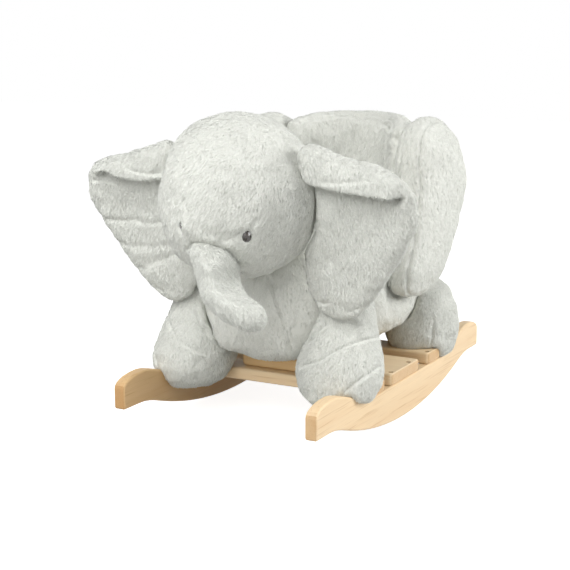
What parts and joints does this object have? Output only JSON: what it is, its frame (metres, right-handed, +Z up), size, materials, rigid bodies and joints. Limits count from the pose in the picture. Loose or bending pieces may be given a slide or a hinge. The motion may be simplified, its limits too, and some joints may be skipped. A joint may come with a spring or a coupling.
{
  "type": "rocking elephant",
  "caption": "Padded plush rocking elephant with a tub seat between wing panels, hanging ears and a curled trunk, carried by a beech base with curved rockers.",
  "frame": {"origin": "on the floor under the middle of the whole outline at rest", "axes": "+Z up, the animal looks along -Y, +X is the animal's left side"},
  "size_m": [0.5204, 0.6742, 0.4585],
  "materials": {
    "beech": "satin clear lacquer",
    "plywood": "raw, sanded",
    "steel": "dark zinc",
    "plush": "short pile plush, pale grey",
    "bead": "polished dark brown",
    "washer": "natural"
  },
  "bodies": {
    "frame_and_body": {"rocker_left": "beech", "rocker_right": "beech", "front_rail": "beech", "middle_board": "beech", "rear_rail": "beech", "front_panel": "beech", "rear_panel": "beech", "box_side_left": "beech", "box_side_right": "beech", "neck_cleat_left": "beech", "neck_cleat_right": "beech", "grip_bar": "beech", "seat_board": "plywood", "back_board": "plywood", "wing_board_left": "plywood", "wing_board_right": "plywood", "neck_board": "plywood", "front_screw_left_1": "steel", "front_screw_left_2": "steel", "front_screw_right_1": "steel", "front_screw_right_2": "steel", "middle_screw_left_1": "steel", "middle_screw_left_2": "steel", "middle_screw_right_1": "steel", "middle_screw_right_2": "steel", "rear_screw_left_1": "steel", "rear_screw_left_2": "steel", "rear_screw_right_1": "steel", "rear_screw_right_2": "steel", "body": "plush", "head": "plush", "front_leg_left": "plush", "front_leg_right": "plush", "rear_leg_left": "plush", "rear_leg_right": "plush", "wing_left": "plush", "wing_right": "plush", "backrest": "plush", "seat_pad": "plush", "eye_left": "bead", "eye_right": "bead", "eye_washer_left": "washer", "eye_washer_right": "washer"},
    "left_ear": {"ear_left": "plush"},
    "right_ear": {"ear_right": "plush"},
    "trunk_body": {"trunk": "plush"}
  },
  "joints": [
    {"name": "ear_left_flap", "type": "hinge", "parent": "frame_and_body", "child": "left_ear", "pos_m": [0.085, -0.17423, 0.25533], "axis": [-0.0904, 0.233, -0.9683], "range_deg": [0, 35], "stiffness_Nm_per_rad": 0.3, "springref_deg": -20.05},
    {"name": "ear_right_flap", "type": "hinge", "parent": "frame_and_body", "child": "right_ear", "pos_m": [-0.085, -0.17423, 0.25533], "axis": [-0.0904, -0.233, 0.9683], "range_deg": [0, 35], "stiffness_Nm_per_rad": 0.3, "springref_deg": -20.05},
    {"name": "trunk_lift", "type": "hinge", "parent": "frame_and_body", "child": "trunk_body", "pos_m": [0.02542, -0.298, 0.3285], "axis": [-0.9744, -0.225, 0], "range_deg": [0, 25], "stiffness_Nm_per_rad": 0.2, "springref_deg": -5.73}
  ]
}
